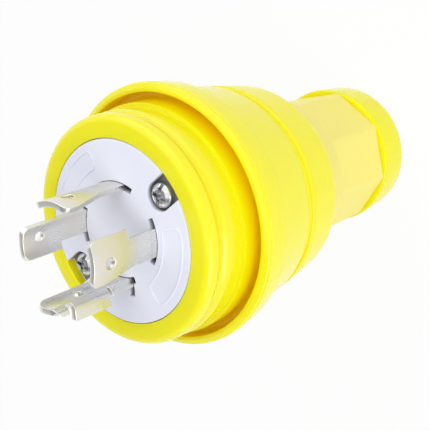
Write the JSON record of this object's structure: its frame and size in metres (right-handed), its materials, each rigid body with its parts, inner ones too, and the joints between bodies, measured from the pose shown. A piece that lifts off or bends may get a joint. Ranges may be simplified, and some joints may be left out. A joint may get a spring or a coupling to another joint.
{
  "type": "locking power plug",
  "caption": "Watertight locking plug with curved blades in a white face, a flanged elastomer jacket and an octagonal cord gland nut.",
  "frame": {"origin": "centre of the rear rim of the gland boot, on which the plug stands", "axes": "+Z along the plug's axis from the cord end to the blades; +X and +Y across it, the ground blade towards -Y"},
  "size_m": [0.0664, 0.0664, 0.1236],
  "materials": {
    "jacket_elastomer": "satin elastomer",
    "housing_nylon": "satin nylon",
    "face_nylon": "white nylon, fine satin",
    "carrier_plastic": "moulded insulator",
    "gasket_rubber": "matte rubber",
    "blade_metal": "nickel-plated brass",
    "clamp_brass": "bare brass",
    "screw_nickel": "nickel-plated steel",
    "screw_green": "green lacquered steel",
    "washer_plastic": "smooth acetal",
    "collet_nylon": "black nylon",
    "nut_nylon": "pale yellow nylon, fine matt"
  },
  "bodies": {
    "plug": {"seal_jacket": "jacket_elastomer", "rear_housing": "housing_nylon", "contact_face": "face_nylon", "contact_carrier": "carrier_plastic", "wire_guide": "carrier_plastic", "carrier_gasket": "gasket_rubber", "right_blade": "blade_metal", "top_blade": "blade_metal", "left_blade": "blade_metal", "ground_blade": "blade_metal", "right_clamp": "clamp_brass", "top_clamp": "clamp_brass", "left_clamp": "clamp_brass", "ground_clamp": "clamp_brass", "terminal_screws": "screw_nickel", "ground_screw": "screw_green", "assembly_screws": "screw_nickel", "threaded_inserts": "clamp_brass", "cord_seal": "gasket_rubber", "nut_seal_ring": "gasket_rubber"},
    "slip_ring": {"thrust_washer": "washer_plastic", "grip_collet": "collet_nylon"},
    "nut": {"gland_nut": "nut_nylon", "gland_boot": "jacket_elastomer"}
  },
  "joints": [
    {"name": "nut_travel", "type": "slide", "parent": "plug", "child": "slip_ring", "axis": [0, 0, -1], "range_m": [0, 0.012]},
    {"name": "nut_turn", "type": "hinge", "parent": "slip_ring", "child": "nut", "pos_m": [0, 0, 0.024], "axis": [0, 0, -1], "range_deg": [0, 1440]}
  ],
  "couplings": [
    {"joint": "nut_turn", "follows": "nut_travel", "rad_per_m": 2094.4}
  ]
}
